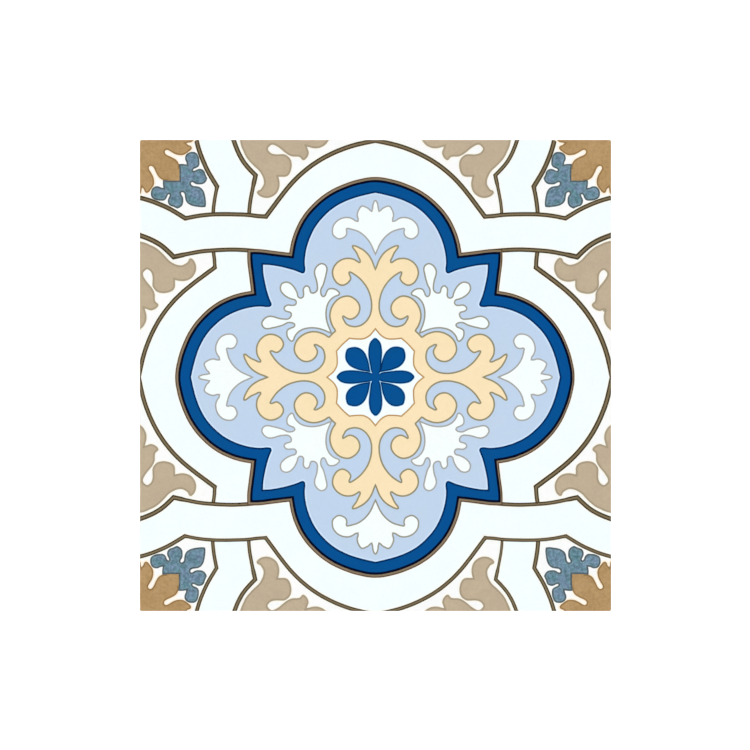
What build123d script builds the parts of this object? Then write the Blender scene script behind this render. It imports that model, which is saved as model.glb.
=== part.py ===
from build123d import *
import os

# Porcelain floor tile: one dry-pressed and fired piece, lying face up. All sizes are in millimetres.
# The origin is the middle of the back, level with the rib tips, and +Z points out of the walking face.

# Body
TILE_SIDE = 200.0  # square face, edge to edge
TILE_THICKNESS = 9.0  # rib tips to walking face
ARRIS_RADIUS = 0.5  # eased edge round the face
CORNER_EASE = 0.2  # by which a plan corner's radius exceeds the arris

# Bevel that the press punch leaves round the back
BEVEL_HEIGHT = 2.0
BEVEL_INSET = 1.0

# Keyed back: a waffle of shallow cells between raised ribs, which the bedding adhesive grips
CELLS_PER_SIDE = 6
RIB_WIDTH = 3.5  # across a rib's tip
RIB_HEIGHT = 0.8  # which is also the cells' depth
FRAME_WIDTH = 5.0  # plain rim round the waffle
CELL_CORNER_RADIUS = 3.0  # at a cell's mouth
CELL_DRAFT = 30.0  # degrees off square, so that the punch lets go

corner_radius = ARRIS_RADIUS + CORNER_EASE
back_side = TILE_SIDE - 2 * BEVEL_INSET
cell_pitch = (back_side - 2 * FRAME_WIDTH + RIB_WIDTH) / CELLS_PER_SIDE
cell_side = cell_pitch - RIB_WIDTH


def square_outline(side, height):
    """The tile's plan, with its eased corners, at one height."""
    return Pos(0, 0, height) * RectangleRounded(side, side, corner_radius)


def pressed_blank():
    """The plain slab: bevelled towards the back, upright at the joints, eased round the face."""
    bevel = loft([square_outline(back_side, 0), square_outline(TILE_SIDE, BEVEL_HEIGHT)])
    upright = extrude(square_outline(TILE_SIDE, BEVEL_HEIGHT), TILE_THICKNESS - BEVEL_HEIGHT)
    slab = bevel + upright
    face_edges = slab.edges().group_by(Axis.Z)[-1]
    return fillet(face_edges, ARRIS_RADIUS)


def back_cells():
    """The shallow drafted recesses that leave the ribs standing."""
    mouth = RectangleRounded(cell_side, cell_side, CELL_CORNER_RADIUS)
    cell = extrude(mouth, RIB_HEIGHT, taper=CELL_DRAFT)
    grid = GridLocations(cell_pitch, cell_pitch, CELLS_PER_SIDE, CELLS_PER_SIDE)
    return [place * cell for place in grid]


porcelain_tile = pressed_blank() - back_cells()

os.makedirs("parts", exist_ok=True)
export_step(porcelain_tile, "parts/porcelain_tile.step")
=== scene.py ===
import math

import bmesh
import bpy
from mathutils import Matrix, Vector, noise
from mathutils.geometry import convex_hull_2d, delaunay_2d_cdt


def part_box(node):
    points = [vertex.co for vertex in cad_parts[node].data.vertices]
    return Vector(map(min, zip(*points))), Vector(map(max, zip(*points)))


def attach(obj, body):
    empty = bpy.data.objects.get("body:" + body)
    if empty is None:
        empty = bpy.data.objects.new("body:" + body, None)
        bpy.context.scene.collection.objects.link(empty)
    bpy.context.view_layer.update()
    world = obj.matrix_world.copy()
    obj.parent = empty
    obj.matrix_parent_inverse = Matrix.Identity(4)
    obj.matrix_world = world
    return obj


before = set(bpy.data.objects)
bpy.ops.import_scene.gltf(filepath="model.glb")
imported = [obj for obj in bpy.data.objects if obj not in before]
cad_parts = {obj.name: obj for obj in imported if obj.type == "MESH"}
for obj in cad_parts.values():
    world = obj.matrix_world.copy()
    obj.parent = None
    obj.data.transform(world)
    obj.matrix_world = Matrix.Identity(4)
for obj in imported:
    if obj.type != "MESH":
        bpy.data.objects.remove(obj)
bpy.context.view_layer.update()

# Patterned porcelain floor tile, face up. The pressed body comes from the frame. The glaze is a thin
# coat over its face, divided along the outlines of the pattern, with one finish for each fired colour.

MM = 0.001

# Body, as pressed
tile_low, tile_high = (Vector(corner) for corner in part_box("porcelain_tile"))
tile_half = (tile_high.x - tile_low.x) / 2 / MM
face_height = tile_high.z / MM
ARRIS_RADIUS = 0.5  # eased edge round the face, in millimetres
CORNER_EASE = 0.2  # by which a plan corner's radius exceeds the arris

# Glaze coat, in millimetres
GLAZE_THICKNESS = 0.05
ARRIS_RINGS = 6  # faces from the walking face round to the upright side
PRINTED_RINGS = 5  # of them, those that the print still reaches
SKIRT_DROP = 1.3  # from the arris down to the ragged lower edge of the glaze
SKIRT_RAGGED = 0.45  # by which that edge wanders
SKIRT_WAVES = 0.11  # of that wander, to a millimetre
SKIRT_SEED = 3.0  # picks one such edge
SKIRT_TUCK = 0.15  # by which the coat's last ring goes into the body
EDGE_STEP = 1.5  # between the points along the tile's edges
CORNER_STEPS = 3
BAKE_MARGIN = 0.5  # left free round the unrolled coat in its texture map
straight_half = tile_half - ARRIS_RADIUS - CORNER_EASE
coat_radius = ARRIS_RADIUS + GLAZE_THICKNESS
arris_height = face_height - ARRIS_RADIUS
arris_run = coat_radius * math.radians(90)

# Print
PRINT_SHIFT = Vector((-0.04, -0.72))  # the pattern's centre, off the tile's centre
PRINT_SCALE = 0.9992  # of the drawn size
STEPS_PER_KNOT = 4  # straight pieces that a curve has from one knot to the next
MERGE_GAP = 0.0005  # within which two points are one
SHARP = "VECTOR"  # marks a knot where an outline turns a corner

# Outlines, in millimetres from the pattern's centre: x to the right, y up

# Right half of a motif on the upright axis
UPRIGHT_PETAL = [
    (0, 16.4), (1.2, 15.65), (2.15, 14.3), (2.65, 12.2), (2.78, 10.0), (2.55, 7.4), (2.25, 5.0), (1.8, 2.4),
    (0, 0, SHARP)]
FLEUR = [
    (0, 75.0), (0.6, 74.4), (1.0, 73.3), (1.25, 71.6), (1.55, 70.45, SHARP), (2.2, 70.8), (3.0, 71.6),
    (4.1, 72.2), (5.3, 72.65), (6.1, 72.45), (6.9, 71.4), (7.6, 69.8), (7.7, 68.4), (7.35, 67.2),
    (7.4, 66.2, SHARP), (8.5, 66.4), (9.6, 67.15), (11.2, 67.75), (13.0, 67.75), (15.0, 67.15),
    (16.65, 66.0), (17.85, 64.35), (18.3, 62.4), (18.1, 60.7), (17.1, 59.5), (15.6, 58.75),
    (13.9, 59.1), (12.55, 60.1), (12.15, 61.6), (12.3, 62.85), (12.0, 63.15), (11.3, 63.05),
    (9.55, 62.65), (7.5, 61.95), (5.3, 60.55), (3.5, 58.75), (2.05, 56.7), (0.95, 54.3),
    (0, 52.15, SHARP)]

# Eighth of a ring, from the upright axis to the diagonal
FLOWER_HEART = [(0, 2.3), (1.63, 1.63)]
CARTOUCHE = [
    (0, 20.55, SHARP), (1.1, 19.2), (2.2, 17.95), (3.6, 16.95), (5.2, 16.3), (7.0, 16.2), (9.0, 16.3),
    (11.05, 16.55, SHARP), (13.95, 13.95)]
SCROLLS = [
    (0, 45.8, SHARP), (0.45, 46.85), (1.8, 50.15), (4.05, 53.1), (6.8, 54.95), (9.05, 55.8),
    (9.65, 55.75), (9.7, 55.35), (8.15, 53.05), (7.2, 51.0), (6.5, 48.95), (6.8, 48.7), (7.7, 49.2),
    (9.1, 50.0), (10.7, 50.4), (13.05, 50.3), (15.35, 49.3), (17.05, 47.7), (18.05, 45.7),
    (18.15, 43.6), (17.25, 41.2), (15.95, 39.75), (14.05, 39.05), (12.15, 39.75), (10.9, 41.0),
    (10.5, 41.9), (10.8, 43.1), (11.15, 44.2), (10.95, 44.65), (10.4, 44.5), (8.8, 43.55),
    (7.05, 42.25), (5.1, 40.2), (3.2, 37.25), (2.05, 34.0), (1.6, 30.6), (1.85, 27.8), (2.85, 25.2),
    (4.95, 22.8), (7.5, 21.6), (10.2, 21.65), (12.3, 22.6), (13.3, 24.1), (13.85, 25.5), (13.65, 25.95),
    (13.2, 25.7), (12.1, 25.05), (10.85, 24.65), (9.25, 25.05), (7.65, 26.35), (6.8, 28.1), (6.7, 30.0),
    (7.5, 31.85), (9.3, 33.55), (11.3, 34.4), (13.4, 34.25), (15.35, 33.45), (17.0, 32.05),
    (18.3, 30.15), (19.1, 28.0), (19.3, 25.6), (18.75, 23.1), (17.9, 21.2), (17.15, 20.1),
    (17.0, 19.6, SHARP), (18.35, 18.35)]
BAND_OUTER = [
    (0, 84.9), (6.8, 83.95), (13.6, 81.8), (20.45, 78.4), (26.7, 73.3), (31.15, 67.9), (33.85, 62.75),
    (35.45, 58.15), (36.2, 54.6), (36.5, 52.75, SHARP), (39.3, 53.05), (44.0, 53.65), (49.5, 54.3),
    (54.3, 54.3, SHARP)]
BAND_INNER = [
    (0, 78.4, SHARP), (4.5, 77.4), (9.2, 76.1), (13.65, 74.35), (18.4, 71.55), (22.3, 68.0), (25.45, 64.05),
    (27.5, 60.15), (28.95, 56.15), (29.85, 52.0), (30.1, 48.5), (29.9, 45.3), (30.25, 44.45), (31.0, 44.15),
    (32.0, 44.5), (34.0, 45.3), (37.05, 46.2), (40.5, 47.0), (44.3, 47.65), (47.85, 47.85, SHARP)]

# Half of a motif on the diagonal, on the side towards the upright axis
DIAGONAL_PETAL = [
    (2.15, 2.15, SHARP), (2.5, 4.0), (2.85, 6.0), (3.45, 7.9), (4.5, 10.15), (5.9, 11.6), (7.5, 12.4),
    (9.1, 12.55), (10.5, 12.3), (11.75, 11.75)]
SPLASH = [
    (18.7, 18.7, SHARP), (19.2, 19.95), (20.2, 22.4), (20.9, 25.5), (20.8, 29.0), (20.0, 31.5),
    (18.8, 33.1), (17.05, 34.35), (15.65, 34.9), (15.3, 35.5), (15.85, 36.45), (17.05, 37.3),
    (18.7, 37.6), (19.95, 37.3), (20.8, 36.0), (21.4, 34.65), (22.2, 34.25), (22.85, 34.8),
    (23.2, 36.1), (23.1, 37.35), (22.2, 39.1), (21.55, 41.2), (20.95, 43.7), (20.6, 46.2),
    (21.0, 47.25), (21.7, 47.9), (22.8, 48.2), (23.8, 47.9), (25.1, 46.75), (25.8, 45.2), (25.75, 43.6),
    (25.0, 41.05), (24.65, 38.6), (24.75, 37.0), (25.4, 36.15), (26.3, 35.75), (27.35, 35.95),
    (27.8, 37.1), (28.15, 38.1), (29.1, 38.75), (30.0, 38.35), (30.6, 37.25), (30.5, 35.5),
    (30.7, 34.15), (31.7, 33.6), (32.7, 34.05), (33.2, 35.6), (34.0, 37.4), (35.3, 39.1), (36.65, 40.1),
    (38.0, 40.35), (39.2, 40.0), (39.7, 39.7)]
SPRIG = [
    (83.4, 83.4, SHARP), (83.4, 88.2), (83.65, 90.4, SHARP), (82.3, 90.45), (80.25, 90.2, SHARP),
    (80.4, 91.2), (80.95, 92.6), (80.7, 94.2), (79.8, 95.1), (78.1, 95.55), (76.4, 95.15),
    (75.45, 93.75), (75.05, 91.6), (75.25, 89.85), (76.25, 89.0), (77.4, 88.5), (77.8, 87.9),
    (77.45, 87.55), (76.6, 87.75), (75.7, 88.2), (74.4, 88.3), (73.05, 87.55), (72.45, 86.0),
    (71.7, 84.35, SHARP), (72.1, 83.4), (73.15, 82.3), (74.8, 81.95), (76.4, 82.1), (77.55, 82.75),
    (78.2, 82.9), (78.65, 82.45), (78.5, 81.75), (77.9, 81.25), (76.45, 81.0), (74.8, 80.6),
    (73.4, 79.2), (72.7, 77.25), (72.35, 75.0), (72.25, 73.6), (72.4, 72.4, SHARP)]
CORNER_LEAF = [
    (104, 104, SHARP), (76.5, 102.0, SHARP), (77.6, 100.6), (78.6, 99.85), (79.7, 99.7),
    (80.75, 99.4, SHARP), (79.8, 98.5), (78.8, 98.1), (78.35, 97.5), (78.6, 96.75), (79.55, 95.9),
    (80.6, 95.1), (81.9, 94.45), (83.5, 94.4), (84.95, 94.7), (86.75, 95.6), (87.95, 96.35),
    (88.6, 96.6), (89.3, 96.5), (89.8, 95.8), (89.6, 94.95), (88.9, 94.3), (87.45, 93.6), (86.1, 92.95),
    (84.65, 91.9), (83.8, 90.3), (83.6, 88.2), (83.6, 83.6, SHARP)]

# The part of a leaf's edge that its sprig borders
LEAF_BORDER = [(88.4, 83.6), (83.6, 83.6), (83.6, 88.4)]

# The half palmette that the upper edge cuts through, on the right
PALMETTE = [
    (20.0, 103, SHARP), (19.9, 101.0), (20.5, 99.85), (21.4, 98.8), (22.8, 97.9), (24.5, 97.35),
    (26.5, 97.35), (28.1, 97.75), (29.3, 98.05, SHARP), (28.9, 96.7), (28.5, 95.5), (28.75, 94.2),
    (29.4, 93.1), (30.2, 92.4), (30.8, 92.25), (31.4, 92.75), (32.0, 93.45), (33.2, 93.75),
    (35.2, 93.8), (36.7, 94.3), (38.5, 95.5), (40.4, 97.1), (41.7, 98.0), (43.25, 98.75),
    (44.35, 98.75), (45.3, 98.0), (45.9, 97.0), (45.4, 95.85), (44.2, 94.9), (42.5, 94.5),
    (40.3, 94.55), (38.8, 94.5), (37.4, 93.75), (36.3, 92.5), (35.8, 90.7), (35.9, 88.7), (36.5, 86.8),
    (37.4, 85.65), (38.6, 85.2), (40.0, 85.2), (41.45, 85.15, SHARP), (41.1, 83.8), (40.9, 81.9),
    (41.2, 80.05), (42.0, 78.4), (43.3, 77.2), (45.0, 76.4), (46.8, 76.25), (48.6, 76.7), (50.0, 77.75),
    (50.35, 78.5), (49.9, 79.15), (49.0, 79.5), (48.1, 80.65), (47.45, 82.0), (47.5, 83.85),
    (48.2, 85.75), (49.5, 87.75), (51.4, 89.5), (53.35, 91.5), (54.95, 93.55), (56.0, 95.7),
    (57.0, 98.0), (57.6, 101.0), (57.8, 103, SHARP)]

# Right halves of the two lines of the strap that crosses the upper part of the tile
STRAP_UPPER = [
    (0, 100.5, SHARP), (5, 99.45), (10, 98.2), (15, 96.45), (20, 94.2), (25, 91.35), (30.1, 87.6),
    (35.25, 82.75), (40, 77.05), (43.45, 72.45), (46.6, 68.2, SHARP), (50, 68.4), (54, 68.9),
    (60, 69.15), (66, 69.2), (69.5, 69.1), (75, 68.55), (80.9, 67.45, SHARP), (83.5, 69.05),
    (87.6, 71.45), (92.1, 73.5), (96.1, 75.0), (101.5, 76.5)]
STRAP_LOWER = [
    (50, 53.5), (54, 53.85), (60, 54.15), (64, 54.1), (69.3, 53.8), (73.5, 53.45), (78.7, 52.55),
    (85.7, 51.05, SHARP), (88.1, 53.4), (90.85, 55.75), (93.65, 57.5), (96.6, 58.9), (101.5, 60.7)]

# The two parts of the flower, off the pattern's centre
UPRIGHT_PETALS_SHIFT = (0.08, 0.08)
DIAGONAL_PETALS_SHIFT = (0.0, 0.22)

# Unevenness of the print
TOP_DRAWN_IN = 0.0033  # share of its distance from the middle that a place at the top moves inward
TOP_RANGE = (45, 75)  # heights between which that sets in
BOTTOM_DRAWN_OUT = 0.2  # by which a place at the bottom moves further down
BOTTOM_RANGE = (70, 90)  # depths between which that sets in
RIGHT_LOBE_SHORT = 0.45  # by which the brown of the band's right lobe ends closer to the middle
RIGHT_PALMETTE_FULLER = 0.25  # by which the palmette above the right arch ran out further
PETALS_FULLER = {  # and each petal, clockwise: the upright ones, then the others
    "top": 0.12, "right": 0.0, "bottom": 0.05, "left": 0.08,
    "top_right": 0.2, "bottom_right": 0.0, "bottom_left": 0.0, "top_left": 0.12}
TOP_PETAL_BEND = (0.12, -0.17)  # by which the top petal's foot and its upper part are off the axis
TOP_PETAL_RANGE = (4, 8)  # heights between which it bends
TOP_LEFT_PETAL_SHIFT = (-0.11, -0.11)  # of the petal beside it

# Line widths, in millimetres
SPREAD = 0.12  # by which a dark colour runs past its outline in the firing
STRAP_LINE = 1.94  # on the arch and the ends of a strap
STRAP_RUN_LINE = 1.6  # on the level run between them
STRAP_RUN = (46.6, 80.9)  # where that run starts and ends, along the strap
STRAP_HEART_SHARE = 0.4  # of the line's width, that its paler heart takes
# By which each strap's lines are wider: its arched line on the arch, its level runs and its two ends, and
# its two inner lines. Of a pair, the first is the upper or the right one.
STRAP_LINES_MORE = {
    "right": {"arch": 0.2, "run": 0.2, "ends": (0.15, -0.2), "inner": (-0.25, -0.4)},
    "left": {"arch": -0.05, "run": -0.05, "ends": (0.05, -0.3), "inner": (0.08, -0.1)},
    "top": {"arch": 0.08, "run": 0.23, "ends": (-0.05, 0.05), "inner": (0.3, 0.2)},
    "bottom": {"arch": -0.25, "run": -0.14, "ends": (-0.34, -0.22), "inner": (0.08, 0.08)},
}
BAND_BROWN = 1.15
BAND_BROWN_EDGE = 0.35
BAND_BLACK = 1.0
BAND_POOL = 0.65  # darker navy along the band's inner edge
BAND_PALE = 0.62  # pale edge of the blue field beside it
SCROLL_LINE = 0.7
CARTOUCHE_LINE = 0.62
MOTIF_LINE = 0.65
PETAL_POOL = 0.55  # darker navy along a petal's edge
PALMETTE_EDGE = 0.7
LEAF_EDGE = 0.55
SPRIG_LINE = 0.6
SPRIG_PALE = 0.5

# Fringes that a colour leaves in the glaze beside it
UMBER_FRINGE = 0.55
TAUPE_FRINGE = 0.6
OCHRE_FRINGE = 0.8
NAVY_FRINGE = 0.22

# Fired colours as they show, in sRGB from 0 to 255: the main tone and the tone of its clouds
GLAZES = {
    "ground_white": ((251, 251, 250), (248, 249, 249)),
    "strap_white": ((245, 254, 255), (243, 252, 254)),
    "motif_white": ((245, 254, 254), (246, 252, 251)),
    "taupe": ((193, 176, 149), (189, 172, 147)),
    "taupe_edge": ((170, 156, 131), (166, 152, 129)),
    "taupe_fringe": ((250, 246, 234), (249, 245, 232)),
    "ochre": ((182, 150, 106), (175, 143, 98)),
    "ochre_edge": ((155, 121, 76), (149, 115, 72)),
    "ochre_fringe": ((254, 243, 223), (253, 241, 220)),
    "slate": ((94, 132, 142), (116, 140, 164)),
    "slate_pale": ((108, 140, 150), (122, 146, 164)),
    "slate_line": ((80, 96, 102), (88, 104, 110)),
    "umber_line": ((66, 55, 38), (74, 63, 45)),
    "umber_heart": ((128, 113, 86), (120, 106, 80)),
    "umber_fringe": ((250, 250, 242), (249, 249, 240)),
    "band_umber": ((142, 124, 102), (132, 116, 92)),
    "band_umber_edge": ((90, 68, 50), (84, 64, 47)),
    "band_black": ((2, 8, 32), (4, 12, 40)),
    "navy": ((5, 80, 148), (7, 81, 144)),
    "navy_pool": ((2, 46, 94), (2, 50, 98)),
    "navy_fringe": ((150, 205, 246), (146, 200, 244)),
    "field_pale": ((206, 229, 252), (204, 226, 250)),
    "field_blue": ((192, 213, 237), (193, 212, 234)),
    "motif_line": ((171, 171, 167), (166, 166, 163)),
    "olive_line": ((156, 154, 139), (151, 149, 135)),
    "scroll_line": ((156, 148, 116), (150, 142, 112)),
    "cream": ((247, 226, 184), (250, 228, 188)),
    "cartouche_line": ((194, 153, 97), (188, 149, 95)),
}
WHITE_CARD = 0.8  # share of the light that full white in these colours stands for
BODY_TONE = (226, 218, 204)
BODY_CLOUD = (216, 207, 192)
BODY_SPECK = (176, 164, 146)
KILN_WASH = (240, 237, 230)

# Clouds and mottles of a colour, to a metre, and how much its mottling and grain lighten and darken it
CLOUD_SCALE = 60.0
CLOUD_SCALES = {"slate": 380.0, "slate_pale": 380.0, "slate_line": 400.0, "ochre": 160.0, "taupe": 110.0}
MOTTLE_SCALE = 850.0
MOTTLE = 0.015
MOTTLES = {
    "slate": 0.4, "slate_pale": 0.3, "slate_line": 0.25, "ochre": 0.12, "ochre_edge": 0.15, "taupe": 0.04}
GRAIN = 0.012
GRAINS = {"slate": 0.06, "slate_pale": 0.05, "slate_line": 0.05, "ochre": 0.035, "taupe": 0.025}

# Noise of the other effects, to a metre
PRINT_GRAIN_SCALE = 2600
FIRING_WAVE_SCALE = 90
PIN_MARK_SCALE = 700
SHEEN_PATCH_SCALE = 35
BODY_CLOUD_SCALE = 45.0
BODY_GRAIN = 0.05
BODY_SPECK_SCALE = 1500
BODY_SHEEN_SCALE = 400
BODY_GRIT_SCALE = 2200
WASH_WEAR_SCALE = 160
PAPER_FIBRE_SCALE = 900

# Surface of the glaze and of the bare body
GLAZE_SHEEN = 0.18  # roughness of the glaze where it is smoothest
GLAZE_SHEEN_RANGE = 0.05
GLAZE_RELIEF = 0.2 * MM
GLAZE_RELIEF_SHARE = 0.12
BODY_RELIEF = 0.1 * MM
BODY_RELIEF_SHARE = 0.35
WASH_HEIGHT = 0.25 * MM  # above the tips of the ribs, where the kiln wash ends

# Stage, in metres and watts
PHOTO_SIDE = 750  # pixels
TILE_IN_PHOTO = 471.4  # pixels along a side of the tile
TILE_OFF_CENTRE = Vector((0.5, -0.5))  # pixels, to the right and up
LENS = 100.0  # millimetres
SENSOR = 36.0  # millimetres
FLOOR_SIDE = 12.0
PAPER_GAP = 0.2 * MM  # between the paper and the tile
PAPER_GLOW = 0.35  # near the tile
BACKDROP_GLOW = 1.0  # where the paper runs off as a backdrop
BACKDROP_RANGE = (0.6, 1.4)  # distances between which the one turns into the other
LIGHT_DISTANCE = 1.5
SOFTBOX_ELEVATION = math.radians(36)
SOFTBOX_SIZE = (1.1, 0.55)
SOFTBOX_POWER = 12.8
STRIP_ELEVATION = math.radians(30)
STRIP_SIZE = (1.2, 0.12)
STRIP_POWER = 1.2
WALL_GLOW = 0.45
CEILING_GLOW = 0.02
CEILING_START = 0.75  # share of the way up from the horizon to straight overhead


# Drawing


def moved(knots, move):
    """The knots at another place, with their corners."""
    return [(*move(x, y), *corner) for x, y, *corner in knots]


def across_upright(x, y):
    return -x, y


def across_level(x, y):
    return x, -y


def across_diagonal(x, y):
    return y, x


def quarter_turn(x, y):
    return y, -x


def whole(half, mirror):
    """A closed motif from the half whose first and last knots are on the mirror line."""
    return half + moved(half, mirror)[-2:0:-1]


def ring(eighth):
    """A closed ring round the centre from its part between the upright axis and the diagonal."""
    quarter = eighth + moved(eighth, across_diagonal)[-2::-1]
    knots = []
    for _ in range(4):
        knots += quarter[:-1]
        quarter = moved(quarter, quarter_turn)
    return knots


def ramp(value, limits):
    """How far a value has come from the first limit to the second, from 0 to 1."""
    low, high = limits
    return min(max((value - low) / (high - low), 0), 1)


def as_printed(x, y):
    """Where the print puts a drawn place."""
    drawn_in = 1 - TOP_DRAWN_IN * ramp(y, TOP_RANGE)
    drawn_out = BOTTOM_DRAWN_OUT * ramp(-y, BOTTOM_RANGE)
    return x * drawn_in * PRINT_SCALE, (y - drawn_out) * PRINT_SCALE


def smooth_line(knots, closed):
    """Points along the smooth curve through the knots, which turns a corner at the sharp ones."""
    curve = bpy.data.curves.new("outline", "CURVE")
    curve.dimensions = "3D"
    curve.resolution_u = STEPS_PER_KNOT
    spline = curve.splines.new("BEZIER")
    spline.bezier_points.add(len(knots) - 1)
    for point, (x, y, *corner) in zip(spline.bezier_points, knots):
        point.co = (x, y, 0)
        point.handle_left_type = point.handle_right_type = corner[0] if corner else "AUTO"
    spline.use_cyclic_u = closed
    drawing = bpy.data.objects.new("outline", curve)
    bpy.context.scene.collection.objects.link(drawing)
    bpy.context.view_layer.update()
    mesh = bpy.data.meshes.new_from_object(drawing)
    points = [(vertex.co.x, vertex.co.y) for vertex in mesh.vertices]
    bpy.data.objects.remove(drawing)
    bpy.data.curves.remove(curve)
    bpy.data.meshes.remove(mesh)
    return points


def four_ways(points):
    """The motif on all four sides of the centre."""
    copies = []
    for _ in range(4):
        copies.append(points)
        points = moved(points, quarter_turn)
    return copies


def shifted(copies, shift):
    """The motifs moved by one shift."""
    return [moved(points, lambda x, y: (x + shift[0], y + shift[1])) for points in copies]


def offset_line(points, distances, closed):
    """The line moved to its left, at each point by that point's distance, with its corners mitred."""
    count = len(points)
    result = []
    for index, point in enumerate(points):
        here = Vector(point[:2])
        before = Vector(points[index - 1][:2]) if closed or index > 0 else None
        after = Vector(points[(index + 1) % count][:2]) if closed or index < count - 1 else None
        runs = []
        if before is not None:
            runs.append((here - before).normalized())
        if after is not None:
            runs.append((after - here).normalized())
        lefts = [Vector((-run.y, run.x)) for run in runs]
        bisector = sum(lefts, Vector((0, 0))).normalized()
        reach = distances[index] / max(bisector.dot(lefts[0]), 0.5)
        result.append(tuple(here + bisector * reach))
    return result


def fuller(points, reach):
    """A motif that ran out past its outline by that much."""
    return offset_line(anticlockwise(points), [-reach] * len(points), True)


def ribbon(points, left, right, closed):
    """A line of some width, as a chain of convex pieces between two distances from its drawn points."""
    return tapered_ribbon(points, [left] * len(points), [right] * len(points), closed)


def tapered_ribbon(points, lefts, rights, closed):
    """A ribbon whose width changes from point to point."""
    one_side = offset_line(points, lefts, closed)
    other_side = offset_line(points, rights, closed)
    count = len(points) if closed else len(points) - 1
    pieces = []
    for index in range(count):
        following = (index + 1) % len(points)
        corners = [one_side[index], other_side[index], other_side[following], one_side[following]]
        pieces.append([corners[place] for place in convex_hull_2d(corners)])
    return pieces


def signed_area(points):
    total = 0
    for index, (x, y) in enumerate(points):
        before_x, before_y = points[index - 1]
        total += before_x * y - x * before_y
    return total / 2


def anticlockwise(points):
    return points if signed_area(points) > 0 else points[::-1]


# Layers of the print, from the ground up: a finish and the pieces that it fills

layers = []


def lay(finish, pieces):
    layers.append((finish, pieces))


def lay_motif(copies, fill, line, inside, outside):
    """A filled motif with its line, which reaches inside and outside the outline by these distances."""
    lay(fill, copies)
    for points in copies:
        lay(line, ribbon(anticlockwise(points), inside, -outside, True))


def lay_fringe(copies, finish, reach):
    """The tint that a colour leaves in the glaze outside its outlines."""
    for points in copies:
        lay(finish, ribbon(anticlockwise(points), 0, -reach, True))


def strap_widths(line, arch, runs, ends):
    """Half the width of a strap's line at each of its points, before it is placed."""
    run_start, run_end = STRAP_RUN
    halves = []
    for x, y in line:
        half = 0 if x > 0 else 1
        if abs(x) >= run_end:
            width = STRAP_LINE + ends[half]
        elif abs(x) > run_start:
            width = STRAP_RUN_LINE + runs[half]
        else:
            width = STRAP_LINE + arch
        halves.append(width / 2)
    return halves


def lay_strap(edges, widths):
    """The white of one strap, with the tint that its own lines leave in it."""
    outline = sum(edges, [])
    lay("strap_white", [outline])
    inside = math.copysign(1, signed_area(outline))
    for edge, halves in zip(edges, widths):
        reach = [inside * (half + UMBER_FRINGE) for half in halves]
        lay("umber_fringe", tapered_ribbon(edge, reach, [0] * len(edge), False))


def lay_strap_lines(finish, edges, widths, share, more):
    """The lines of one strap, each over a share of its width and some more on both sides."""
    for edge, halves in zip(edges, widths):
        lefts = [half * share + more for half in halves]
        lay(finish, tapered_ribbon(edge, lefts, [-left for left in lefts], False))


def lay_straps(band):
    """The four interlaced straps: the upright pair first, so that the level pair passes over it."""
    right_half = smooth_line(STRAP_UPPER, False)
    upper = moved(right_half, across_upright)[:0:-1] + right_half
    lower_right = smooth_line(STRAP_LOWER, False)[::-1]
    lower_left = moved(lower_right, across_upright)[::-1]

    def strap(side, place):
        """The lines of the strap on one side, and half their widths."""
        more = STRAP_LINES_MORE[side]
        widths = [strap_widths(upper, more["arch"], (more["run"], more["run"]), more["ends"])]
        for line in (lower_right, lower_left):
            widths.append(strap_widths(line, 0, more["inner"], more["inner"]))
        return [moved(line, place) for line in (upper, lower_right, lower_left)], widths

    upright = [strap("right", across_diagonal), strap("left", lambda x, y: (-y, x))]
    level = [strap("top", lambda x, y: (x, y)), strap("bottom", across_level)]
    for edges, widths in upright + level:
        lay_strap_lines("umber_fringe", edges, widths, 1, UMBER_FRINGE)
    for edges, widths in upright:
        lay_strap(edges, widths)
        lay_strap_lines("umber_line", edges, widths, 1, 0)
        lay_strap_lines("umber_heart", edges, widths, STRAP_HEART_SHARE, 0)
    for edges, widths in level:
        lay_strap(edges, widths)
    lay_fringe([band], "umber_fringe", UMBER_FRINGE)
    for edges, widths in level:
        lay_strap_lines("umber_line", edges, widths, 1, 0)
    for edges, widths in level:
        lay_strap_lines("umber_heart", edges, widths, STRAP_HEART_SHARE, 0)


def lay_palmettes():
    palmette = smooth_line(PALMETTE, True)
    copies = four_ways(palmette) + four_ways(moved(palmette, across_upright))
    above_right_arch = 5
    copies[above_right_arch] = fuller(copies[above_right_arch], RIGHT_PALMETTE_FULLER)
    lay_fringe(copies, "taupe_fringe", TAUPE_FRINGE)
    lay_motif(copies, "taupe", "taupe_edge", PALMETTE_EDGE, SPREAD)


def lay_corners():
    leaves = four_ways(smooth_line(whole(CORNER_LEAF, across_diagonal), True))
    lay_fringe(leaves, "ochre_fringe", OCHRE_FRINGE)
    lay_motif(leaves, "ochre", "ochre_edge", LEAF_EDGE, SPREAD)
    for border in four_ways(LEAF_BORDER):
        lay("ochre", ribbon(border, SPREAD, -LEAF_EDGE - SPREAD, False))
    sprigs = four_ways(smooth_line(whole(SPRIG, across_diagonal), True))
    lay("slate", sprigs)
    for points in sprigs:
        lay("slate_pale", ribbon(anticlockwise(points), SPRIG_LINE + SPRIG_PALE, SPRIG_LINE, True))
        lay("slate_line", ribbon(anticlockwise(points), SPRIG_LINE, -SPREAD, True))


def band_outline():
    """The outer edge of the band."""
    return anticlockwise(smooth_line(ring(BAND_OUTER), True))


def brown_outline(outer):
    """The same edge as the brown is printed, with its right lobe a little short."""
    return [(x - RIGHT_LOBE_SHORT if x > abs(y) - MERGE_GAP else x, y) for x, y in outer]


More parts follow.
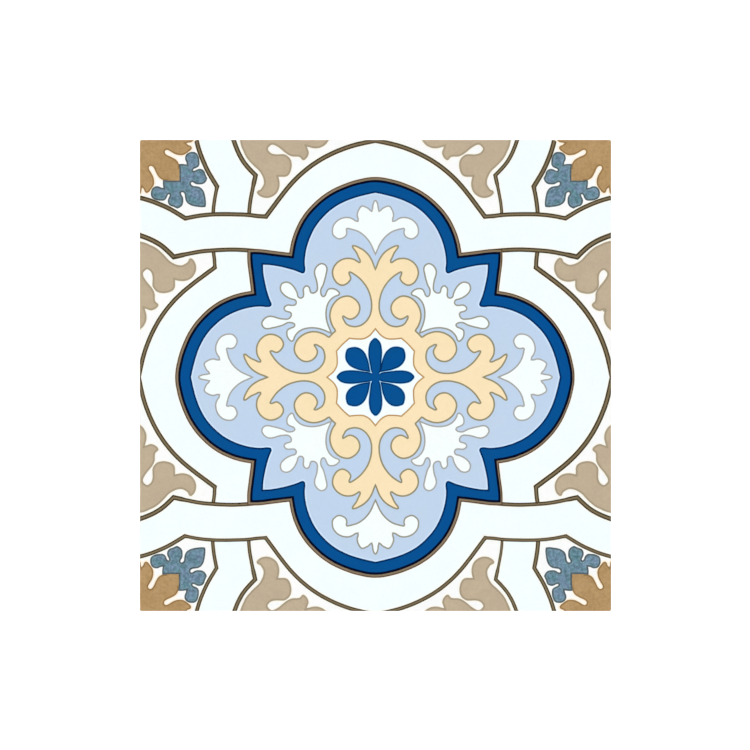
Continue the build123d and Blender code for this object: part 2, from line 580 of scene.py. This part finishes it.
def lay_band(outer, brown):
    """The band: a brown line, a black one and the navy inside them."""
    inner = anticlockwise(smooth_line(ring(BAND_INNER), True))
    lay("band_umber", [brown])
    lay("band_umber_edge", ribbon(brown, BAND_BROWN_EDGE, -SPREAD, True))
    lay("navy", [offset_line(outer, [BAND_BROWN] * len(outer), True)])
    lay("band_black", ribbon(outer, BAND_BROWN + BAND_BLACK, BAND_BROWN, True))
    lay("field_blue", [inner])
    lay("field_pale", ribbon(inner, SPREAD + BAND_PALE, SPREAD, True))
    lay("navy_pool", ribbon(inner, SPREAD, -BAND_POOL, True))


def bent_petal(x, y):
    """Where the flower's top petal has a place of its outline."""
    foot, head = TOP_PETAL_BEND
    return x + foot + (head - foot) * ramp(y, TOP_PETAL_RANGE), y


def lay_middle():
    """The motifs on the blue field, and the flower in its cartouche."""
    half_line = MOTIF_LINE / 2
    splash = smooth_line(whole(SPLASH, across_diagonal), True)
    upper_right, lower_right, lower_left, upper_left = four_ways(splash)
    top, right, bottom, left = four_ways(smooth_line(whole(FLEUR, across_upright), True))
    greyer = [lower_right, lower_left, top, right, left]
    lay_motif(greyer, "motif_white", "motif_line", half_line, half_line)
    lay_motif([upper_right, upper_left, bottom], "motif_white", "olive_line", half_line, half_line)
    scrolls = smooth_line(ring(SCROLLS), True)
    lay_motif([scrolls], "cream", "scroll_line", SCROLL_LINE / 2, SCROLL_LINE / 2)
    cartouche = smooth_line(ring(CARTOUCHE), True)
    lay_motif([cartouche], "motif_white", "cartouche_line", CARTOUCHE_LINE / 2, CARTOUCHE_LINE / 2)
    upright_petal = smooth_line(whole(UPRIGHT_PETAL, across_upright), True)
    diagonal_petal = smooth_line(whole(DIAGONAL_PETAL, across_diagonal), True)
    drawn = shifted(four_ways(upright_petal), UPRIGHT_PETALS_SHIFT)
    drawn += shifted(four_ways(diagonal_petal), DIAGONAL_PETALS_SHIFT)
    petals = {name: fuller(points, PETALS_FULLER[name]) for name, points in zip(PETALS_FULLER, drawn)}
    petals["top"] = moved(petals["top"], bent_petal)
    petals["top_left"], = shifted([petals["top_left"]], TOP_LEFT_PETAL_SHIFT)
    lay_fringe(petals.values(), "navy_fringe", NAVY_FRINGE)
    lay_motif(list(petals.values()), "navy", "navy_pool", PETAL_POOL, 0)
    lay("navy", [smooth_line(ring(FLOWER_HEART), True)])


# Glazed face


def coat_outline(run):
    """Points round the unrolled coat, that far out of the walking face's flat."""
    corner_radius = CORNER_EASE + run
    steps = round(2 * straight_half / EDGE_STEP)
    side = [
        (straight_half + corner_radius, straight_half * (2 * step / steps - 1)) for step in range(steps)]
    for step in range(CORNER_STEPS):
        angle = math.radians(90) * step / CORNER_STEPS
        reach_x = straight_half + corner_radius * math.cos(angle)
        reach_y = straight_half + corner_radius * math.sin(angle)
        side.append((reach_x, reach_y))
    points = []
    for _ in range(4):
        points += side
        side = [(-y, x) for x, y in side]
    return points


def covers(corners, spot):
    """Whether a convex piece of a line, given anticlockwise, lies under a spot."""
    for index, corner in enumerate(corners):
        side = corner - corners[index - 1]
        if side.cross(spot - corner) < 0:
            return False
    return True


def cell_at(spot):
    """The square millimetre that a spot lies in."""
    return math.floor(spot.x), math.floor(spot.y)


def cells_under(corners):
    """The square millimetres that a piece of a line may reach."""
    columns, rows = zip(*(cell_at(corner) for corner in corners))
    across = range(min(columns), max(columns) + 1)
    return [(x, y) for x in across for y in range(min(rows), max(rows) + 1)]


def divided_coat(runs):
    """The unrolled coat cut along every outline: its points, its triangles and the finish of each."""
    places = []
    index_of = {}

    def indices(points, shift):
        row = []
        for x, y in points:
            spot = (round(x + shift.x, 3), round(y + shift.y, 3))
            if spot not in index_of:
                index_of[spot] = len(places)
                places.append(Vector(spot))
            if not row or row[-1] != index_of[spot]:
                row.append(index_of[spot])
        return row

    outlines = [indices(coat_outline(run), Vector((0, 0))) for run in runs]
    finishes = ["ground_white"] * len(outlines)
    for finish, pieces in layers:
        for piece in pieces:
            outline = indices(anticlockwise(moved(piece, as_printed)), PRINT_SHIFT)
            if len(outline) > 2:
                outlines.append(outline)
                finishes.append(finish)
    line_pieces = {}
    for piece, outline in enumerate(outlines):
        if len(outline) <= 4:
            for cell in cells_under([places[index] for index in outline]):
                line_pieces.setdefault(cell, []).append(piece)
    points, _, triangles, _, _, sources = delaunay_2d_cdt(places, [], outlines, 1, MERGE_GAP)
    tile_only = []
    for triangle, source in zip(triangles, sources):
        if 0 in source:
            middle = sum((points[index] for index in triangle), Vector((0, 0))) / 3
            on_top = max(piece for piece in source if len(outlines[piece]) > 4)
            for piece in reversed(line_pieces.get(cell_at(middle), [])):
                if piece > on_top and covers([places[index] for index in outlines[piece]], middle):
                    on_top = piece
            tile_only.append((triangle, finishes[on_top]))
    return points, tile_only


def out_of_flat(place):
    """For a place on the unrolled coat: its foot on the flat's edge, the way out, and the run to it."""
    core = Vector((
        min(max(place.x, -straight_half), straight_half),
        min(max(place.y, -straight_half), straight_half)))
    away = place - core
    run = max(away.length - CORNER_EASE, 0)
    way = away.normalized()
    return place - way * run, way, run


def on_coat(foot, way, run):
    """The place on the coat at a run out of the flat, bent round the arris."""
    angle = run / coat_radius
    place = foot + way * coat_radius * math.sin(angle)
    return place.x, place.y, arris_height + coat_radius * math.cos(angle)


def glazed_face(finishes):
    """The glaze coat: the divided face, carried over the arris and a little way down the sides."""
    slots = list(finishes)
    printed_runs = [arris_run * step / ARRIS_RINGS for step in range(PRINTED_RINGS, -1, -1)]
    points, triangles = divided_coat(printed_runs)
    shell = bmesh.new()
    bake_map = shell.loops.layers.uv.new("OFBake")
    plan = {}
    roots = {}
    verts = {}
    for triangle, finish in triangles:
        bent = False
        corners = []
        for index in triangle:
            foot, way, run = out_of_flat(points[index])
            bent = bent or run > MERGE_GAP
            if index not in verts:
                verts[index] = shell.verts.new(on_coat(foot, way, run))
                plan[verts[index]] = points[index].copy()
                roots[verts[index]] = (foot, way)
            corners.append(verts[index])
        face = shell.faces.new(corners)
        face.material_index = slots.index(finish)
        face.smooth = bent

    def add_ring(run, place_at):
        """Extrudes the open edge to a place further along the coat, in the plain ground."""
        edges = [edge for edge in shell.edges if edge.is_boundary]
        before = {vert for edge in edges for vert in edge.verts}
        made = bmesh.ops.extrude_edge_only(shell, edges=edges)["geom"]
        for vert in [item for item in made if isinstance(item, bmesh.types.BMVert)]:
            old = next(edge.other_vert(vert) for edge in vert.link_edges if edge.other_vert(vert) in before)
            foot, way = roots[vert] = roots[old]
            plan[vert] = foot + way * run
            vert.co = place_at(foot, way)
        for face in [item for item in made if isinstance(item, bmesh.types.BMFace)]:
            face.smooth = True
            face.material_index = slots.index("ground_white")

    def on_skirt(foot, way, tuck):
        """The ragged lower edge of the coat, or a place that far inside it."""
        wander = noise.noise(Vector((foot.x * SKIRT_WAVES, foot.y * SKIRT_WAVES, SKIRT_SEED)))
        place = foot + way * (coat_radius - tuck)
        return place.x, place.y, arris_height - SKIRT_DROP + SKIRT_RAGGED * wander

    for step in range(PRINTED_RINGS + 1, ARRIS_RINGS + 1):
        ring_run = arris_run * step / ARRIS_RINGS
        add_ring(ring_run, lambda foot, way: on_coat(foot, way, ring_run))
    skirt_run = arris_run + SKIRT_DROP
    add_ring(skirt_run, lambda foot, way: on_skirt(foot, way, 0))
    add_ring(skirt_run + SKIRT_TUCK, lambda foot, way: on_skirt(foot, way, SKIRT_TUCK))

    span = 2 * (tile_half - ARRIS_RADIUS + skirt_run + SKIRT_TUCK + BAKE_MARGIN)
    for face in shell.faces:
        for loop in face.loops:
            loop[bake_map].uv = plan[loop.vert] / span + Vector((0.5, 0.5))
    bmesh.ops.recalc_face_normals(shell, faces=shell.faces)
    bmesh.ops.scale(shell, vec=(MM, MM, MM), verts=shell.verts)
    mesh = bpy.data.meshes.new("glazed_face")
    shell.to_mesh(mesh)
    shell.free()
    for finish in finishes.values():
        mesh.materials.append(finish)
    piece = bpy.data.objects.new("glazed_face", mesh)
    bpy.context.scene.collection.objects.link(piece)
    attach(piece, "root")
    return piece


# Finishes


def linear(colour):
    """A shown colour as the share of the light that the glaze sends back."""
    shares = []
    for value in colour:
        part = value / 255
        share = part / 12.92 if part <= 0.04045 else ((part + 0.055) / 1.055) ** 2.4
        shares.append(share * WHITE_CARD)
    return (*shares, 1.0)


def new_group(name, inputs, outputs):
    """A shader node group with its sockets, given as name, kind and starting value."""
    group = bpy.data.node_groups.new(name, "ShaderNodeTree")
    for label, kind, value in inputs:
        socket = group.interface.new_socket(label, in_out="INPUT", socket_type=kind)
        socket.default_value = value
    for label, kind in outputs:
        group.interface.new_socket(label, in_out="OUTPUT", socket_type=kind)
    return group


def node(tree, kind, **settings):
    made = tree.nodes.new(kind)
    for key, value in settings.items():
        setattr(made, key, value)
    return made


def noise_node(tree, place, scale, detail, roughness):
    """Noise on a place in the object, whose scale is a number or a socket."""
    made = node(tree, "ShaderNodeTexNoise")
    tree.links.new(place, made.inputs["Vector"])
    made.inputs["Detail"].default_value = detail
    made.inputs["Roughness"].default_value = roughness
    if isinstance(scale, bpy.types.NodeSocket):
        tree.links.new(scale, made.inputs["Scale"])
    else:
        made.inputs["Scale"].default_value = scale
    return made.outputs["Fac"]


def spread(tree, value, low, high, to_low, to_high):
    """A value stretched from one range to another."""
    made = node(tree, "ShaderNodeMapRange")
    tree.links.new(value, made.inputs["Value"])
    for label, limit in (("From Min", low), ("From Max", high), ("To Min", to_low), ("To Max", to_high)):
        if isinstance(limit, bpy.types.NodeSocket):
            tree.links.new(limit, made.inputs[label])
        else:
            made.inputs[label].default_value = limit
    return made.outputs["Result"]


def math_node(tree, operation, first, second):
    made = node(tree, "ShaderNodeMath", operation=operation)
    for socket, value in zip(made.inputs, (first, second)):
        if isinstance(value, bpy.types.NodeSocket):
            tree.links.new(value, socket)
        else:
            socket.default_value = value
    return made.outputs["Value"]


def mix_colours(tree, share, first, second):
    made = node(tree, "ShaderNodeMix", data_type="RGBA")
    tree.links.new(share, made.inputs["Factor"])
    tree.links.new(first, made.inputs["A"])
    tree.links.new(second, made.inputs["B"])
    return made.outputs["Result"]


def fired_tone_group():
    """A glaze's colour: soft clouds of a second tone, mottling, and the fine grain of the print."""
    group = new_group(
        "fired_tone",
        [("Tone", "NodeSocketColor", (0.8, 0.8, 0.8, 1)),
         ("Cloud Tone", "NodeSocketColor", (0.7, 0.7, 0.7, 1)),
         ("Cloud Scale", "NodeSocketFloat", 120.0), ("Mottle", "NodeSocketFloat", 0.0),
         ("Mottle Scale", "NodeSocketFloat", 800.0), ("Grain", "NodeSocketFloat", 0.02)],
        [("Colour", "NodeSocketColor")])
    given = node(group, "NodeGroupInput")
    result = node(group, "NodeGroupOutput")
    place = node(group, "ShaderNodeTexCoord").outputs["Object"]
    clouds = noise_node(group, place, given.outputs["Cloud Scale"], 4, 0.6)
    share = spread(group, clouds, 0.38, 0.62, 0, 1)
    tone = mix_colours(group, share, given.outputs["Tone"], given.outputs["Cloud Tone"])
    grain = spread(group, noise_node(group, place, PRINT_GRAIN_SCALE, 2, 0.5), 0.3, 0.7, -1, 1)
    blots = spread(group, noise_node(group, place, given.outputs["Mottle Scale"], 3, 0.6), 0.3, 0.7, -1, 1)
    mottled = math_node(group, "MULTIPLY_ADD", blots, given.outputs["Mottle"])
    mottled.node.inputs[2].default_value = 1.0
    level = math_node(group, "MULTIPLY_ADD", grain, given.outputs["Grain"])
    group.links.new(mottled, level.node.inputs[2])
    shade = node(group, "ShaderNodeVectorMath", operation="SCALE")
    group.links.new(tone, shade.inputs["Vector"])
    group.links.new(level, shade.inputs["Scale"])
    group.links.new(shade.outputs["Vector"], result.inputs["Colour"])
    return group


def fired_skin_group():
    """A glaze's surface: slow waves from the firing, fine pin marks, and a sheen that varies in patches."""
    group = new_group(
        "fired_skin",
        [("Sheen", "NodeSocketFloat", 0.2), ("Sheen Range", "NodeSocketFloat", 0.06)],
        [("Roughness", "NodeSocketFloat"), ("Height", "NodeSocketFloat")])
    given = node(group, "NodeGroupInput")
    result = node(group, "NodeGroupOutput")
    place = node(group, "ShaderNodeTexCoord").outputs["Object"]
    waves = noise_node(group, place, FIRING_WAVE_SCALE, 2, 0.5)
    peel = noise_node(group, place, PIN_MARK_SCALE, 2, 0.5)
    height = math_node(group, "MULTIPLY_ADD", peel, 0.25)
    group.links.new(waves, height.node.inputs[2])
    patches = spread(group, noise_node(group, place, SHEEN_PATCH_SCALE, 4, 0.6), 0.3, 0.7, 0, 1)
    rough = math_node(group, "MULTIPLY_ADD", patches, given.outputs["Sheen Range"])
    group.links.new(given.outputs["Sheen"], rough.node.inputs[2])
    group.links.new(rough, result.inputs["Roughness"])
    group.links.new(height, result.inputs["Height"])
    return group


def new_material(name):
    material = bpy.data.materials.new(name)
    material.use_nodes = True
    return material, material.node_tree, material.node_tree.nodes["Principled BSDF"]


def placed_group(tree, group, **values):
    made = node(tree, "ShaderNodeGroup", node_tree=group)
    for label, value in values.items():
        made.inputs[label.replace("_", " ")].default_value = value
    return made


def glaze(name, tones, tone_group, skin_group):
    """One fired colour under a satin glaze."""
    material, tree, surface = new_material(name)
    tone = placed_group(
        tree, tone_group, Tone=linear(tones[0]), Cloud_Tone=linear(tones[1]),
        Cloud_Scale=CLOUD_SCALES.get(name, CLOUD_SCALE), Mottle=MOTTLES.get(name, MOTTLE),
        Mottle_Scale=MOTTLE_SCALE, Grain=GRAINS.get(name, GRAIN))
    skin = placed_group(tree, skin_group, Sheen=GLAZE_SHEEN, Sheen_Range=GLAZE_SHEEN_RANGE)
    bump = node(tree, "ShaderNodeBump")
    bump.inputs["Strength"].default_value = GLAZE_RELIEF_SHARE
    bump.inputs["Distance"].default_value = GLAZE_RELIEF
    tree.links.new(tone.outputs["Colour"], surface.inputs["Base Color"])
    tree.links.new(skin.outputs["Roughness"], surface.inputs["Roughness"])
    tree.links.new(skin.outputs["Height"], bump.inputs["Height"])
    tree.links.new(bump.outputs["Normal"], surface.inputs["Normal"])
    surface.inputs["IOR"].default_value = 1.5
    return material


def pressed_body(tone_group):
    """Unglazed porcelain: a speckled ivory body, with white kiln wash on the tips of the bedding ribs."""
    material, tree, surface = new_material("pressed_porcelain")
    place = node(tree, "ShaderNodeTexCoord").outputs["Object"]
    tone = placed_group(
        tree, tone_group, Tone=linear(BODY_TONE), Cloud_Tone=linear(BODY_CLOUD),
        Cloud_Scale=BODY_CLOUD_SCALE, Grain=BODY_GRAIN)
    specks = spread(tree, noise_node(tree, place, BODY_SPECK_SCALE, 1, 0.4), 0.62, 0.7, 0, 0.7)
    speck_colour = node(tree, "ShaderNodeRGB")
    speck_colour.outputs["Color"].default_value = linear(BODY_SPECK)
    speckled = mix_colours(tree, specks, tone.outputs["Colour"], speck_colour.outputs["Color"])
    height = node(tree, "ShaderNodeSeparateXYZ")
    tree.links.new(place, height.inputs["Vector"])
    on_tips = spread(tree, height.outputs["Z"], WASH_HEIGHT, 0.0, 0, 1)
    worn = spread(tree, noise_node(tree, place, WASH_WEAR_SCALE, 4, 0.65), 0.4, 0.6, 0, 0.85)
    wash = math_node(tree, "MULTIPLY", on_tips, worn)
    wash_colour = node(tree, "ShaderNodeRGB")
    wash_colour.outputs["Color"].default_value = linear(KILN_WASH)
    washed = mix_colours(tree, wash, speckled, wash_colour.outputs["Color"])
    tree.links.new(washed, surface.inputs["Base Color"])
    rough = spread(tree, noise_node(tree, place, BODY_SHEEN_SCALE, 3, 0.6), 0.3, 0.7, 0.62, 0.82)
    tree.links.new(rough, surface.inputs["Roughness"])
    bump = node(tree, "ShaderNodeBump")
    bump.inputs["Strength"].default_value = BODY_RELIEF_SHARE
    bump.inputs["Distance"].default_value = BODY_RELIEF
    tree.links.new(noise_node(tree, place, BODY_GRIT_SCALE, 3, 0.6), bump.inputs["Height"])
    tree.links.new(bump.outputs["Normal"], surface.inputs["Normal"])
    return material


# Stage


def lay_floor():
    """White paper under the tile, bright enough that it shows as plain white."""
    sheet = bmesh.new()
    bmesh.ops.create_grid(sheet, x_segments=1, y_segments=1, size=FLOOR_SIDE / 2)
    bmesh.ops.translate(sheet, vec=(0, 0, tile_low.z - PAPER_GAP), verts=sheet.verts)
    mesh = bpy.data.meshes.new("paper_floor")
    sheet.to_mesh(mesh)
    sheet.free()
    material, tree, surface = new_material("white_paper")
    place = node(tree, "ShaderNodeTexCoord").outputs["Object"]
    fibre = spread(tree, noise_node(tree, place, PAPER_FIBRE_SCALE, 3, 0.6), 0.3, 0.7, 0.86, 0.9)
    tree.links.new(fibre, surface.inputs["Base Color"])
    surface.inputs["Roughness"].default_value = 0.9
    surface.inputs["Specular IOR Level"].default_value = 0.1
    from_tile = node(tree, "ShaderNodeVectorMath", operation="LENGTH")
    tree.links.new(place, from_tile.inputs["Vector"])
    glow = spread(tree, from_tile.outputs["Value"], *BACKDROP_RANGE, PAPER_GLOW, BACKDROP_GLOW)
    tree.links.new(glow, surface.inputs["Emission Color"])
    surface.inputs["Emission Strength"].default_value = 1.0
    mesh.materials.append(material)
    floor = bpy.data.objects.new("paper_floor", mesh)
    bpy.context.scene.collection.objects.link(floor)


def hang_light(name, turn, elevation, size, power):
    """A flat light that faces the tile."""
    light = bpy.data.lights.new(name, "AREA")
    light.shape = "RECTANGLE"
    light.size, light.size_y = size
    light.energy = power
    lamp = bpy.data.objects.new(name, light)
    flat = LIGHT_DISTANCE * math.cos(elevation)
    lamp.location = (flat * math.cos(turn), flat * math.sin(turn), LIGHT_DISTANCE * math.sin(elevation))
    lamp.rotation_euler = (-lamp.location).to_track_quat("-Z", "Y").to_euler()
    bpy.context.scene.collection.objects.link(lamp)
    return lamp


def hang_lights():
    """Four broad lights that show the colours, and four faint strips that the glaze mirrors."""
    for step in range(4):
        turn = math.radians(90 * step)
        softbox = hang_light(
            f"softbox_{step}", turn + math.radians(45), SOFTBOX_ELEVATION, SOFTBOX_SIZE, SOFTBOX_POWER)
        softbox.visible_glossy = False
        strip = hang_light(f"strip_{step}", turn, STRIP_ELEVATION, STRIP_SIZE, STRIP_POWER)
        strip.visible_diffuse = False


def set_room():
    """Light walls and a dark ceiling."""
    world = bpy.data.worlds.new("studio")
    world.use_nodes = True
    tree = world.node_tree
    place = node(tree, "ShaderNodeTexCoord").outputs["Generated"]
    height = node(tree, "ShaderNodeSeparateXYZ")
    tree.links.new(place, height.inputs["Vector"])
    glow = spread(tree, height.outputs["Z"], 0.0, CEILING_START, WALL_GLOW, CEILING_GLOW)
    background = tree.nodes["Background"]
    background.inputs["Color"].default_value = (1, 1, 1, 1)
    tree.links.new(glow, background.inputs["Strength"])
    bpy.context.scene.world = world


def set_camera():
    """Straight down on the face, framed as the photograph is."""
    pixel = 2 * tile_half * MM / TILE_IN_PHOTO
    view_width = pixel * PHOTO_SIDE
    camera = bpy.data.cameras.new("camera")
    camera.sensor_width = SENSOR
    camera.lens = LENS
    holder = bpy.data.objects.new("camera", camera)
    holder.location = (
        -TILE_OFF_CENTRE.x * pixel, -TILE_OFF_CENTRE.y * pixel, tile_high.z + view_width * LENS / SENSOR)
    bpy.context.scene.collection.objects.link(holder)
    bpy.context.scene.camera = holder
    bpy.context.scene.view_settings.view_transform = "Standard"


# Assembly

band = band_outline()
band_brown = brown_outline(band)
lay_straps(band_brown)
lay_palmettes()
lay_corners()
lay_band(band, band_brown)
lay_middle()

fired_tone = fired_tone_group()
fired_skin = fired_skin_group()
glazes = {name: glaze(name, tones, fired_tone, fired_skin) for name, tones in GLAZES.items()}
glazed_face(glazes)

body = bpy.data.objects["porcelain_tile"]
for slot in body.material_slots:
    slot.material = pressed_body(fired_tone)

lay_floor()
hang_lights()
set_room()
set_camera()
